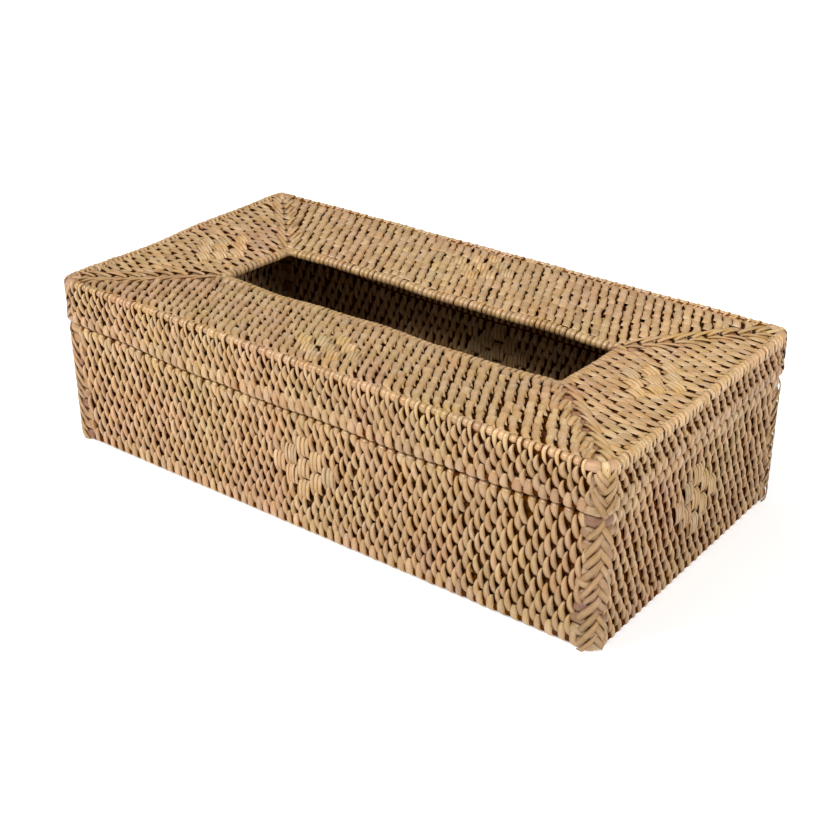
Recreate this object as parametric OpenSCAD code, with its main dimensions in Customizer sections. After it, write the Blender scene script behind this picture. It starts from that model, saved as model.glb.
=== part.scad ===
// Woven cane tissue box cover: an open base box with a lift-off lid that has a dispensing slot.
// Origin: centre of the footprint, on the table. X runs along the long side, the front is -Y, Z is up.
// Sides count 0 front, 1 right, 2 back, 3 left. Corner k lies where side k ends at side k + 1.

/* [Overall size] */
// Length over the lid
body_l = 267; // [220:1:320]
// Width over the lid
body_w = 140; // [124:1:180]
// Height with the lid on
body_h = 75; // [66:1:100]
// Height of the base box alone
base_h = 51.3; // [40:0.1:56]
// How far the lid stands proud of the base walls, each side
lid_proud = 1; // [0:0.1:2]

/* [Dispensing slot] */
// Clear length of the slot
slot_l = 165; // [120:1:190]
// Clear width of the slot
slot_w = 38; // [30:1:60]

/* [Cane courses] */
// Diameter of a course of cane with its wrapping
course_d = 4.4; // [4:0.05:4.8]
// Diameter of the bare cane inside a course
cane_d = 3.6; // [3:0.05:3.9]
// Diameter of the wrapped cane along the lid's top edge
edge_d = 5; // [4.8:0.1:6]
// Least gap between two neighbouring courses
course_gap = 0.12; // [0.05:0.01:0.3]
// Radius of a course's centre line round a corner
bend_r = 3; // [2.8:0.1:6]
// How far the lid's top lies below the edge cane
top_drop = 0.6; // [0.6:0.05:1]
// How much further the lid's top sags towards the slot
top_sag = 2; // [0:0.1:3]

/* [Bound rims] */
// Distance between windings along a bound rim
stitch_pitch = 4.5; // [3:0.1:8]
// Depth of the groove between two windings
groove_depth = 0.4; // [0.2:0.05:0.6]
// Width of the groove at its floor
groove_w = 0.5; // [0.2:0.05:1]

/* [Corner lacing] */
// Thickness of the flat lacing strip
strip_t = 0.5; // [0.3:0.05:0.55]
// Width of the flat lacing strip
strip_w = 2.6; // [1.5:0.1:3]
// Slope of the lacing strips on a corner, from level
strip_slope = 48; // [35:1:55]
// How far a lacing arm reaches along the long walls
arm_long = 9; // [6:0.5:14]
// How far a lacing arm reaches along the short walls
arm_short = 7; // [5:0.5:12]
// Length of a lacing strip beside a mitre on the top
mitre_strip_l = 11; // [7:0.5:14]
// Angle between a strip on the top and its mitre
mitre_strip_angle = 27; // [20:1:45]

/* [Diamond motif] */
// Width of one flat patch of the motif
patch_w = 5.6; // [4:0.1:7]
// Distance between the motif's columns
patch_pitch = 6; // [4.5:0.1:8]
// How far a patch turns round its courses at each end, in degrees
patch_turn = 50; // [30:1:60]
// Height of the motif's centre on the base walls
motif_z = 28; // [20:1:34]
// Rings from the lid's edge to the motif's centre on the front, right, back and left
motif_rings = [3, 4, 3, 5]; // [3:1:6]

/* [Inner lip] */
// Height of the lip above the base rim
lip_rise = 9; // [5:0.5:14]
// Depth of the lip below the base rim
lip_depth = 8; // [5:0.5:16]
// Thickness of the lip
lip_t = 2.8; // [2.2:0.1:4]
// Distance between the lip's own fine courses
lip_pitch = 3.4; // [3:0.1:5]

/* [Clearances] */
// Gap between the lid and the base rim when closed
seat_gap = 0.3; // [0.2:0.05:0.6]
// Gap between a laced or seated piece and what carries it
piece_gap = 0.1; // [0.05:0.01:0.2]
// Gap between the ends of two lengths of cane
butt_gap = 0.1; // [0.05:0.01:0.3]

/* [Hidden] */

$fn = 48;
quarter = 90;
// Overrun of every cutting shape
overrun = 2 * (max(arm_long, arm_short) + bend_r);

// Distance from the overall envelope to the courses of the lid and of the base
lid_inset = strip_t + piece_gap;
base_inset = lid_inset + lid_proud;

// Inner face of the base walls, from the overall envelope
base_inner = base_inset + course_d;

// Heights of the stacked courses
function steps(span) = floor(span / (course_d + course_gap));
base_steps = steps(base_h - course_d);
base_step = (base_h - course_d) / base_steps;
lid_rim_z = base_h + seat_gap + course_d / 2;
edge_z = body_h - edge_d / 2;
skirt_span = edge_z - (edge_d - course_d) / 2 - lid_rim_z;
skirt_steps = steps(skirt_span);
skirt_step = skirt_span / skirt_steps;

// Rings of the lid's top, counted from the edge cane to the slot rim
edge_v = lid_inset + edge_d / 2;
first_v = edge_v + (edge_d - course_d) / 2;
top_steps = steps(min(body_w - slot_w, body_l - slot_l) / 2 - course_d / 2 - first_v);
top_z = body_h - top_drop - course_d / 2;

// Along a side and across it
function odd(k) = (k + 4) % 2;
function run(k) = odd(k) ? body_w : body_l;
function reach(k) = odd(k) ? body_l / 2 : body_w / 2;
function slot_across(k) = odd(k) ? slot_l : slot_w;
function slot_edge_v(k) = reach(k) - slot_across(k) / 2;
function ring_pitch(k) = (slot_edge_v(k) - course_d / 2 - first_v) / top_steps;
function ring_v(k, i) = first_v + i * ring_pitch(k);
function ring_z(i) = top_z - top_sag * i / top_steps;
function sag_angle(k) = atan(top_sag / (top_steps * ring_pitch(k)));
function arm(k) = odd(k) ? arm_short : arm_long;

// Local frame of a side: X along it, Y inwards from the overall envelope
module at_side(k) {
    rotate([0, 0, quarter * k]) translate([0, -reach(k), 0]) children();
}

// A plain course: a cylinder along X
module plain_course(length, d) {
    rotate([0, quarter, 0]) cylinder(d = d, h = length, center = true);
}

// A bound course: windings with a groove between each two
module bound_course(length, d) {
    count = max(1, round(length / stitch_pitch));
    pitch = length / count;
    bead = pitch - groove_w;
    slant = groove_depth;
    r_bead = d / 2;
    r_groove = r_bead - groove_depth;
    profile = concat(
        [[0, 0]],
        [for (i = [0 : count - 1]) each [
            [r_groove, i * pitch],
            [r_groove, i * pitch + groove_w / 2],
            [r_bead, i * pitch + groove_w / 2 + slant],
            [r_bead, i * pitch + groove_w / 2 + bead - slant],
            [r_groove, i * pitch + groove_w / 2 + bead]
        ]],
        [[r_groove, length], [0, length]]
    );
    translate([-length / 2, 0, 0]) rotate([0, quarter, 0]) rotate_extrude() polygon(profile);
}

// A quarter turn of a course, from the front side to the right side, about the Z axis
module bend(r, d) {
    rotate([0, 0, -quarter]) rotate_extrude(angle = quarter) translate([r, 0]) circle(d = d);
}

// Straight length of a course on side k whose centre line turns v inside the two sides it meets
function straight(k, v) = run(k) - 2 * (v + bend_r + butt_gap);

// Straight stretch of one level course on side k, v inside the envelope
module level_course(k, v, z, d, bound) {
    length = straight(k, v);
    at_side(k) translate([0, v, z]) {
        if (bound) bound_course(length, d);
        else plain_course(length, d);
    }
}

// Bend of one level course at corner k
module level_bend(k, v, z, d) {
    at_side(k) translate([run(k) / 2 - v - bend_r, v + bend_r, z]) bend(bend_r, d);
}

// Base box
module base_wall(k) {
    color("burlywood")
        for (i = [0 : base_steps - 1])
            level_course(k, base_inset + course_d / 2, course_d / 2 + i * base_step, course_d, false);
}

module base_rim(k) {
    color("tan") level_course(k, base_inset + course_d / 2, base_h - course_d / 2, course_d, true);
}

module base_corner(k) {
    color("rosybrown")
        for (i = [0 : base_steps])
            level_bend(k, base_inset + course_d / 2, course_d / 2 + i * base_step, cane_d);
}

// The floor: lengthwise courses, flat underneath, ribbed on top
module base_floor() {
    margin = base_inner + piece_gap;
    floor_l = body_l - 2 * margin;
    floor_w = body_w - 2 * margin;
    count = steps(floor_w - course_d) + 1;
    pitch = (floor_w - course_d) / (count - 1);
    flat_cut = groove_depth;
    color("burlywood")
        rotate([quarter, 0, quarter]) linear_extrude(floor_l, center = true)
            intersection() {
                union() {
                    for (i = [0 : count - 1])
                        translate([-floor_w / 2 + course_d / 2 + i * pitch, course_d / 2 - flat_cut])
                            circle(d = course_d);
                    translate([-floor_w / 2 + course_d / 2, 0]) square([floor_w - course_d, course_d / 2]);
                }
                translate([-floor_w / 2, 0]) square([floor_w, course_d]);
            }
}

// Section of the inner lip: fine courses on a web, X across the lip from its outer face
module lip_section() {
    lip_h = lip_rise + lip_depth;
    steps = round((lip_h - lip_t) / lip_pitch);
    step = (lip_h - lip_t) / steps;
    web = lip_t / 2;
    for (i = [0 : steps]) translate([lip_t / 2, lip_t / 2 + i * step]) circle(d = lip_t);
    translate([(lip_t - web) / 2, lip_t / 2]) square([web, steps * step]);
}

// The lip stands inside the base rim and holds the lid in place; front and back carry its corners
module base_lip(k) {
    v = base_inner + piece_gap;
    z = base_h - lip_depth;
    length = run(k) - 2 * (v + bend_r + lip_t) - (odd(k) ? 2 * butt_gap : 0);
    color("peru") {
        at_side(k) translate([0, v, z]) rotate([quarter, 0, quarter])
            linear_extrude(length, center = true) lip_section();
        if (!odd(k))
            for (c = [k, k - 1])
                at_side(c) translate([run(c) / 2 - v - bend_r - lip_t, v + bend_r + lip_t, z])
                    rotate([0, 0, -quarter]) rotate_extrude(angle = quarter)
                        translate([bend_r + lip_t, 0]) mirror([1, 0]) lip_section();
    }
}

// Points on an arc about the origin
function arc(r, a0, a1, n) = [for (i = [0 : n]) let (a = a0 + (a1 - a0) * i / n) [r * cos(a), r * sin(a)]];

// Plan of one half of a corner's lacing band: an arm on the side and an eighth turn of the corner
// The corner axis is at the origin and the side's outer face lies along -Y
module lacing_plan(r, arm_reach) {
    folds = 3;
    polygon(concat(
        [[-arm_reach, -r - strip_t]],
        arc(r + strip_t, -quarter, -quarter / 2, folds),
        arc(r, -quarter / 2, -quarter, folds),
        [[-arm_reach, -r]]
    ));
}

// Herringbone lacing at a corner between two heights; fall is 1 for arms that run down, -1 for up
module lacing(k, inset, z_low, z_high, step, fall) {
    axis_v = inset + course_d / 2 + bend_r;
    r = bend_r + course_d / 2 + piece_gap;
    rise = strip_w / cos(strip_slope);
    apex_x = (r + strip_t) * cos(quarter / 2);
    slope = fall * tan(strip_slope);
    count = floor((z_high - z_low) / step);
    color("wheat")
        at_side(k) translate([run(k) / 2 - axis_v, axis_v, 0])
            for (half = [0, 1], i = [0 : count]) {
                reach_x = half ? arm(k + 1) : arm(k);
                apex_z = (fall > 0 ? z_high - i * step : z_low + i * step) - fall * rise / 2;
                mid_left = apex_z - slope * (apex_x + overrun);
                mid_right = apex_z + slope * (overrun - apex_x);
                rotate([0, 0, half * quarter]) mirror([half, 0, 0])
                    intersection() {
                        translate([0, 0, z_low]) linear_extrude(z_high - z_low) lacing_plan(r, reach_x);
                        rotate([quarter, 0, 0]) linear_extrude(2 * overrun, center = true) polygon([
                            [-overrun, mid_left - rise / 2], [overrun, mid_right - rise / 2],
                            [overrun, mid_right + rise / 2], [-overrun, mid_left + rise / 2]
                        ]);
                    }
            }
}

module base_lacing(k) {
    lacing(k, base_inset, course_d / 2, base_h - piece_gap, base_step, 1);
}

module lid_lacing(k) {
    lacing(k, lid_inset, base_h + seat_gap + piece_gap, edge_z, skirt_step, -1);
}

// Diamond of flat patches, each over two courses: 1, 2, 3, 2 and 1 in its five columns
// X runs along the courses, Y across them, Z away from their faces
module patch(step) {
    r_in = course_d / 2 + piece_gap;
    r_out = r_in + strip_t;
    dip = r_out * (1 - cos(patch_turn));
    translate([0, 0, -course_d / 2]) rotate([quarter, 0, quarter]) linear_extrude(patch_w, center = true)
        intersection() {
            difference() {
                strap_outline(r_out, step);
                strap_outline(r_in, step);
            }
            translate([-step / 2 - r_out, r_out - dip]) square([step + 2 * r_out, r_out]);
        }
}

// Two circles a step apart and the square between them
module strap_outline(r, step) {
    for (side = [-1, 1]) translate([side * step / 2, 0]) circle(r = r);
    translate([-step / 2, -r]) square([step, 2 * r]);
}

module diamond(step) {
    half_columns = 2;
    for (c = [-half_columns : half_columns])
        let (count = half_columns + 1 - abs(c))
            for (j = [0 : count - 1])
                translate([c * patch_pitch, (2 * j - count + 1) * step, 0]) patch(step);
}

// Junction between two base courses that lies nearest the motif's height
motif_step = round((motif_z - course_d / 2) / base_step - 1 / 2);
motif_centre_z = course_d / 2 + (motif_step + 1 / 2) * base_step;

module base_motifs() {
    color("khaki")
        for (k = [0 : 3]) at_side(k) {
            translate([0, base_inset, motif_centre_z]) rotate([quarter, 0, 0]) diamond(base_step);
            translate([0, base_inner, motif_centre_z]) rotate([-quarter, 0, 0]) diamond(base_step);
        }
}

module lid_motifs() {
    color("khaki")
        for (k = [0 : 3]) {
            i = motif_rings[k];
            step = ring_pitch(k);
            at_side(k)
                translate([0, ring_v(k, i) + step / 2, (ring_z(i) + ring_z(i + 1)) / 2])
                    rotate([-sag_angle(k), 0, 0])
                        for (face = [0, 1])
                            mirror([0, 0, face]) translate([0, 0, course_d / 2]) diamond(step);
        }
}

// Lid
module lid_edge(k) {
    color("tan") level_course(k, edge_v, edge_z, edge_d, true);
}

module lid_skirt(k) {
    color("burlywood")
        for (i = [1 : skirt_steps - 1])
            level_course(k, lid_inset + course_d / 2, lid_rim_z + i * skirt_step, course_d, false);
}

module lid_rim(k) {
    color("tan") level_course(k, lid_inset + course_d / 2, lid_rim_z, course_d, true);
}

module lid_corner(k) {
    color("rosybrown") {
        for (i = [0 : skirt_steps - 1])
            level_bend(k, lid_inset + course_d / 2, lid_rim_z + i * skirt_step, cane_d);
        level_bend(k, edge_v, edge_z, course_d);
    }
}

// One straight stretch of ring i of the top on side k
module ring_course(k, i, bound) {
    length = straight(k, ring_v(k + 1, i));
    at_side(k) translate([0, ring_v(k, i), ring_z(i)]) {
        if (bound) bound_course(length, course_d);
        else plain_course(length, course_d);
    }
}

module lid_top(k) {
    color("burlywood") for (i = [1 : top_steps - 1]) ring_course(k, i, false);
}

module slot_rim(k) {
    color("tan") ring_course(k, top_steps, true);
}

// Bends of the rings along the mitre at corner k
module lid_mitre(k) {
    color("rosybrown")
        for (i = [1 : top_steps])
            at_side(k)
                translate([run(k) / 2 - ring_v(k + 1, i) - bend_r, ring_v(k, i) + bend_r, ring_z(i)])
                    bend(bend_r, cane_d);
}

// Flat strips beside one end of the top panel on side k, which meets side m there in a mitre
// They lie in the panel's own slope, run outwards from the mitre and stop short of the edge cane
module mitre_strips(k, m) {
    dx = ring_v(m, top_steps) - first_v;
    dy = ring_v(k, top_steps) - first_v;
    mitre_l = sqrt(dx * dx + dy * dy);
    mitre_angle = atan2(dx, dy);
    pitch = mitre_l / top_steps;
    skew = strip_w / 2 / sin(mitre_strip_angle);
    end_x = mitre_strip_l * sin(mitre_strip_angle);
    end_y = mitre_strip_l * cos(mitre_strip_angle);
    edge_clear = course_d / 2 + piece_gap;
    translate([run(k) / 2 - first_v, first_v, top_z + course_d / 2 + piece_gap])
        rotate([-sag_angle(k), 0, 0])
            for (i = [1 : top_steps - 1])
                linear_extrude(strip_t) intersection() {
                    rotate(mitre_angle) translate([-piece_gap, (i + 1 / 2) * pitch]) polygon([
                        [0, 0], [0, -2 * skew],
                        [-end_x, -end_y - skew], [-end_x, -end_y + skew]
                    ]);
                    translate([-edge_clear - mitre_l, edge_clear]) square(mitre_l);
                }
}

// Herringbone over the mitre at corner k: one row of strips on each of the two panels
module lid_mitre_lacing(k) {
    color("wheat") {
        at_side(k) mitre_strips(k, k + 1);
        at_side(k + 1) mirror([1, 0, 0]) mitre_strips(k + 1, k);
    }
}

base_floor();
base_wall(0);  // base_wall_front
base_wall(1);  // base_wall_right
base_wall(2);  // base_wall_back
base_wall(3);  // base_wall_left
base_rim(0);  // base_rim_front
base_rim(1);  // base_rim_right
base_rim(2);  // base_rim_back
base_rim(3);  // base_rim_left
base_corner(0);  // base_corner_front_right
base_corner(1);  // base_corner_back_right
base_corner(2);  // base_corner_back_left
base_corner(3);  // base_corner_front_left
base_lacing(0);  // base_lacing_front_right
base_lacing(1);  // base_lacing_back_right
base_lacing(2);  // base_lacing_back_left
base_lacing(3);  // base_lacing_front_left
base_lip(0);  // base_lip_front
base_lip(1);  // base_lip_right
base_lip(2);  // base_lip_back
base_lip(3);  // base_lip_left
base_motifs();
lid_edge(0);  // lid_edge_front
lid_edge(1);  // lid_edge_right
lid_edge(2);  // lid_edge_back
lid_edge(3);  // lid_edge_left
lid_skirt(0);  // lid_skirt_front
lid_skirt(1);  // lid_skirt_right
lid_skirt(2);  // lid_skirt_back
lid_skirt(3);  // lid_skirt_left
lid_rim(0);  // lid_rim_front
lid_rim(1);  // lid_rim_right
lid_rim(2);  // lid_rim_back
lid_rim(3);  // lid_rim_left
lid_corner(0);  // lid_corner_front_right
lid_corner(1);  // lid_corner_back_right
lid_corner(2);  // lid_corner_back_left
lid_corner(3);  // lid_corner_front_left
lid_lacing(0);  // lid_lacing_front_right
lid_lacing(1);  // lid_lacing_back_right
lid_lacing(2);  // lid_lacing_back_left
lid_lacing(3);  // lid_lacing_front_left
lid_top(0);  // lid_top_front
lid_top(1);  // lid_top_right
lid_top(2);  // lid_top_back
lid_top(3);  // lid_top_left
lid_mitre(0);  // lid_mitre_front_right
lid_mitre(1);  // lid_mitre_back_right
lid_mitre(2);  // lid_mitre_back_left
lid_mitre(3);  // lid_mitre_front_left
lid_mitre_lacing(0);  // lid_mitre_lacing_front_right
lid_mitre_lacing(1);  // lid_mitre_lacing_back_right
lid_mitre_lacing(2);  // lid_mitre_lacing_back_left
lid_mitre_lacing(3);  // lid_mitre_lacing_front_left
slot_rim(0);  // slot_rim_front
slot_rim(1);  // slot_rim_right
slot_rim(2);  // slot_rim_back
slot_rim(3);  // slot_rim_left
lid_motifs();
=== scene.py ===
"""Looks of a woven cane tissue box cover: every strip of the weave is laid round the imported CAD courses."""

import math

import bpy
import numpy as np
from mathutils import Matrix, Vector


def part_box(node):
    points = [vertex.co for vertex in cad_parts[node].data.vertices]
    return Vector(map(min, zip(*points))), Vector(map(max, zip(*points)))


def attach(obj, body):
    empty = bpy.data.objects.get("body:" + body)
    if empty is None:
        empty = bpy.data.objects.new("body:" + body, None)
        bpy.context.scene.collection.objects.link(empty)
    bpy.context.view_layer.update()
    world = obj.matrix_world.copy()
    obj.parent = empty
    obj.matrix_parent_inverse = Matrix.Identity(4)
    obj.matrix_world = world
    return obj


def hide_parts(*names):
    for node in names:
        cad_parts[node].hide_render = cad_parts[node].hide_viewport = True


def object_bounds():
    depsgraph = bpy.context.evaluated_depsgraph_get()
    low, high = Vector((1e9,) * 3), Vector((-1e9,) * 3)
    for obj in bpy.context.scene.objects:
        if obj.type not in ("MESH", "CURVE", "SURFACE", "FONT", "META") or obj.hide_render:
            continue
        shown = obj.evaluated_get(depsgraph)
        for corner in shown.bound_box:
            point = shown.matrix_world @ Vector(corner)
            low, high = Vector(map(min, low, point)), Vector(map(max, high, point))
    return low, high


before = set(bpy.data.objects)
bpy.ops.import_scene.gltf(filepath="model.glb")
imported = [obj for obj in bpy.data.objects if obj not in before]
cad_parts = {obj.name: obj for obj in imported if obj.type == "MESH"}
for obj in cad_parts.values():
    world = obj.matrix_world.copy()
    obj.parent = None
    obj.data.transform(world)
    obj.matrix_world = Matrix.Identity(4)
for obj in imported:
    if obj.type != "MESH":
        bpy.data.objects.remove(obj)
cad_lo, cad_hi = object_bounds()

MM = 0.001
SIDES = ("front", "right", "back", "left")
CORNERS = ("front_right", "back_right", "back_left", "front_left")


# Sizes, in millimetres, read from the frame. v is the distance inside the overall envelope.
def box_mm(node):
    low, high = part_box(node)
    return np.array(low) / MM, np.array(high) / MM


BOX_LO, BOX_HI = np.array(cad_lo) / MM, np.array(cad_hi) / MM
LENGTH, WIDTH, HEIGHT = BOX_HI - BOX_LO
wall_lo, wall_hi = box_mm("base_wall_front")
_, rim_hi = box_mm("base_rim_front")
lid_rim_lo, lid_rim_hi = box_mm("lid_rim_front")
_, skirt_hi = box_mm("lid_skirt_front")
edge_lo, edge_hi = box_mm("lid_edge_front")
slot_lo, slot_hi = box_mm("slot_rim_front")
lip_lo, lip_hi = box_mm("base_lip_front")
floor_lo, floor_hi = box_mm("base_floor")

COURSE_R = (wall_hi[1] - wall_lo[1]) / 2
BASE_V = wall_lo[1] + WIDTH / 2
BASE_H = rim_hi[2]
BASE_ROWS = 10
BASE_STEP = (BASE_H - 2 * COURSE_R) / BASE_ROWS
LID_V = lid_rim_lo[1] + WIDTH / 2
LID_RIM_Z = (lid_rim_lo[2] + lid_rim_hi[2]) / 2
SKIRT_ROWS = 3
SKIRT_STEP = (skirt_hi[2] - COURSE_R - LID_RIM_Z) / SKIRT_ROWS
EDGE_R = (edge_hi[2] - edge_lo[2]) / 2
EDGE_Z = HEIGHT - EDGE_R
EDGE_V = edge_lo[1] + WIDTH / 2 + EDGE_R
SLOT_V = slot_hi[1] + WIDTH / 2 - COURSE_R
SLOT_Z = (slot_lo[2] + slot_hi[2]) / 2
TOP_ROWS = 10
TOP_DROP = 0.6
FIRST_V = EDGE_V + EDGE_R - COURSE_R
FIRST_Z = HEIGHT - TOP_DROP - COURSE_R
BEND_R = 3.0


def run(k):
    """Length of side k of the overall envelope."""
    return WIDTH if k % 2 else LENGTH


# Ring i of the lid's top, counted inwards from the edge
def ring_v(i):
    return FIRST_V + (SLOT_V - FIRST_V) * i / TOP_ROWS


def ring_z(i):
    return FIRST_Z + (SLOT_Z - FIRST_Z) * i / TOP_ROWS


def at_side(k, a, v, z):
    """World place of a point that is a along side k, v inside the envelope and z high."""
    y = v - run(k + 1) / 2
    c, s = ((1, 0), (0, 1), (-1, 0), (0, -1))[k % 4]
    return np.stack([c * a - s * y, s * a + c * y, z + 0 * a], -1)


# The hand-made waviness of the whole cover: the seam rises at its ends, the walls are a little hollow, the
# lid's corners are pinched in and the top dips towards the slot
SEAM_RISE = 4.0
SIDE_HOLLOW, END_HOLLOW = 0.7, 0.6
PINCH, PINCH_REACH, PINCH_FROM = 1.5, 9, 48


def settle(p):
    """The settled place of points of the straight weave."""
    x, y, z = p[..., 0], p[..., 1], p[..., 2]
    ax, ay = 2 * x / LENGTH, 2 * y / WIDTH
    seam = ax ** 2 * (SEAM_RISE - 0.4 * ax + 0.5 * (ay + 1)) - 0.3
    seam = seam + 0.35 * np.sin(x / 17 + 1.3) + 0.25 * np.sin(x / 8.3 + y / 11)
    height = np.interp(z, [0, BASE_H, HEIGHT], [0, 1, 0]) ** 1.15
    belly = np.sin(np.pi * np.clip(z / HEIGHT, 0, 1))
    hollow_y = SIDE_HOLLOW * (1 - ax ** 2) * np.abs(ay) ** 3 * belly
    hollow_x = END_HOLLOW * (1 - ay ** 2) * np.abs(ax) ** 3 * belly
    top = np.clip((z - 60) / 12, 0, 1)
    middle = np.clip(1.25 - np.abs(ay), 0, 1)
    dip = -0.45 * (1 + np.sin(x / 14 + 0.6 * y / 10)) - 0.25 * (1 + np.sin(x / 6.1 + y / 9))
    near_x = np.clip(1 - (LENGTH / 2 - np.abs(x)) / PINCH_REACH, 0, 1)
    near_y = np.clip(1 - (WIDTH / 2 - np.abs(y)) / PINCH_REACH, 0, 1)
    pinch = PINCH * (near_x * near_y) * np.clip((z - PINCH_FROM) / 10, 0, 1)
    out = p.copy()
    out[..., 0] = x - np.sign(x) * (hollow_x + pinch)
    out[..., 1] = y - np.sign(y) * (hollow_y + pinch)
    out[..., 2] = z + seam * height + top * middle * dip
    return out


# Colours are darker and redder towards the right and the bottom, and palest on the right of the top
RIGHT_DARKER, BOTTOM_DARKER, TOP_PALER = 0.19, 0.08, 0.14


def position_tint(p):
    """Factor on a strip's colour at each point, for red, green and blue."""
    x, z = p[..., 0], p[..., 2]
    wall = np.clip((73 - z) / 5, 0, 1)
    light = 1 - wall * RIGHT_DARKER * np.clip((x / LENGTH + 0.25) / 0.7, 0, 1)
    light = light * (1 - BOTTOM_DARKER * np.clip((26 - z) / 20, 0, 1))
    light = light * (1 + (1 - wall) * TOP_PALER * np.clip((x - 75) / 15, 0, 1))
    return light[..., None] ** np.array([1.0, 1.12, 1.25])


class Outline:
    """Closed outline of a wrapped wall in (v, z), followed by its length b."""

    def __init__(self):
        self.b, self.v, self.z, self.nv, self.nz = [], [], [], [], []

    def add(self, v, z, nv, nz):
        step = math.hypot(v - self.v[-1], z - self.z[-1]) if self.b else 0
        self.b.append((self.b[-1] if self.b else 0) + max(step, 1e-4 if self.b else 0))
        self.v.append(v)
        self.z.append(z)
        self.nv.append(nv)
        self.nz.append(nz)
        return self.b[-1]

    def line(self, v0, z0, v1, z1):
        """A straight stretch; gives the length at its start and at its end."""
        d = math.hypot(v1 - v0, z1 - z0)
        nv, nz = (z0 - z1) / d, (v1 - v0) / d
        return self.add(v0, z0, nv, nz), self.add(v1, z1, nv, nz)

    def arc(self, v, z, r, start, end):
        """Degrees count from straight out, through up, to inwards."""
        for angle in np.linspace(start, end, 24):
            nv, nz = -math.cos(math.radians(angle)), math.sin(math.radians(angle))
            self.add(v + r * nv, z + r * nz, nv, nz)

    def place(self, b, n):
        """The point (v, z) that lies n outside the outline at the length b."""
        nv, nz = np.interp(b, self.b, self.nv), np.interp(b, self.b, self.nz)
        return np.interp(b, self.b, self.v) + n * nv, np.interp(b, self.b, self.z) + n * nz


base_loop = Outline()
base_loop.arc(BASE_V + COURSE_R, COURSE_R, COURSE_R, -180, 0)
BASE_B0, _ = base_loop.line(BASE_V, COURSE_R, BASE_V, BASE_H - COURSE_R)
base_loop.arc(BASE_V + COURSE_R, BASE_H - COURSE_R, COURSE_R, 0, 180)
BASE_B1, _ = base_loop.line(BASE_V + 2 * COURSE_R, BASE_H - COURSE_R, BASE_V + 2 * COURSE_R, COURSE_R)

lid_loop = Outline()
lid_loop.arc(LID_V + COURSE_R, LID_RIM_Z, COURSE_R, -180, 0)
LID_B0, _ = lid_loop.line(LID_V, LID_RIM_Z, LID_V, EDGE_Z)
lid_loop.arc(EDGE_V, EDGE_Z, EDGE_R, 0, 90)
TOP_B0, TOP_B1 = lid_loop.line(ring_v(0), ring_z(0) + COURSE_R, SLOT_V, SLOT_Z + COURSE_R)
lid_loop.arc(SLOT_V, SLOT_Z, COURSE_R, 90, 270)
UNDER_B0, UNDER_B1 = lid_loop.line(SLOT_V, SLOT_Z - COURSE_R, ring_v(1), ring_z(1) - COURSE_R)
INNER_B0, _ = lid_loop.line(LID_V + 2 * COURSE_R, ring_z(1) - COURSE_R, LID_V + 2 * COURSE_R, LID_RIM_Z)


def base_b(z, inner=False):
    """Length along the base's outline at a height, on its outer or its inner face."""
    return BASE_B1 + (BASE_H - COURSE_R - z) if inner else BASE_B0 + (z - COURSE_R)


def skirt_b(z, inner=False):
    """Length along the lid's outline at a height of its skirt, on the outer or the inner face."""
    return INNER_B0 + (ring_z(1) - COURSE_R - z) if inner else LID_B0 + (z - LID_RIM_Z)


def top_b(v, under=False):
    """Length along the lid's outline on its top, or on the face under that."""
    if under:
        share = (v - ring_v(1)) / (SLOT_V - ring_v(1))
        return UNDER_B1 + (UNDER_B0 - UNDER_B1) * share
    share = (v - ring_v(0)) / (SLOT_V - ring_v(0))
    return TOP_B0 + (TOP_B1 - TOP_B0) * share


class Batch:
    """Geometry of one piece: grids of quads with a colour and a fibre coordinate at each point."""

    def __init__(self):
        self.points, self.quads, self.tones, self.fibres, self.inner, self.count = [], [], [], [], [], 0

    def grid(self, p, tone, fibre, closed=False, inner=False):
        n, t, s = p.shape[:3]
        index = np.arange(n * t * s).reshape(n, t, s) + self.count
        after = np.roll(index, -1, axis=2) if closed else index[:, :, 1:]
        before = index if closed else index[:, :, :-1]
        corners = (before[:, :-1], after[:, :-1], after[:, 1:], before[:, 1:])
        self.quads.append(np.stack(corners, -1).reshape(-1, 4))
        self.inner.append(np.full(len(self.quads[-1]), int(inner), np.int32))
        self.points.append(p.reshape(-1, 3))
        self.tones.append(np.broadcast_to(tone, p.shape).reshape(-1, 3))
        self.fibres.append(np.broadcast_to(fibre, p.shape).reshape(-1, 3))
        self.count += n * t * s

    def make(self, name, node, body, material):
        """One mesh object that stands for its CAD node."""
        raw = np.concatenate(self.points)
        points = np.clip(settle(raw), BOX_LO + 0.01, BOX_HI - 0.01) * MM
        quads = np.concatenate(self.quads)
        mesh = bpy.data.meshes.new(name)
        mesh.vertices.add(len(points))
        mesh.vertices.foreach_set("co", points.astype(np.float32).ravel())
        mesh.loops.add(quads.size)
        mesh.loops.foreach_set("vertex_index", quads.astype(np.int32).ravel())
        mesh.polygons.add(len(quads))
        mesh.polygons.foreach_set("loop_start", np.arange(0, quads.size, 4, dtype=np.int32))
        mesh.polygons.foreach_set("use_smooth", np.ones(len(quads), bool))
        mesh.materials.append(material)
        # The second material is for the cane inside the weave that is coloured dark as painted shade
        mesh.materials.append(SHADE_CANE)
        mesh.polygons.foreach_set("material_index", np.concatenate(self.inner))
        mesh.update(calc_edges=True)
        tones = np.concatenate(self.tones) * position_tint(raw)
        rgba = np.concatenate([np.clip(tones, 0, 1), np.ones((len(tones), 1))], 1)
        mesh.color_attributes.new("tone", "FLOAT_COLOR", "POINT").data.foreach_set(
            "color", rgba.astype(np.float32).ravel())
        mesh.attributes.new("fibre", "FLOAT_VECTOR", "POINT").data.foreach_set(
            "vector", np.concatenate(self.fibres).astype(np.float32).ravel())
        piece = bpy.data.objects.new(name, mesh)
        bpy.context.scene.collection.objects.link(piece)
        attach(piece, body)
        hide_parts(node)
        return piece


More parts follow.
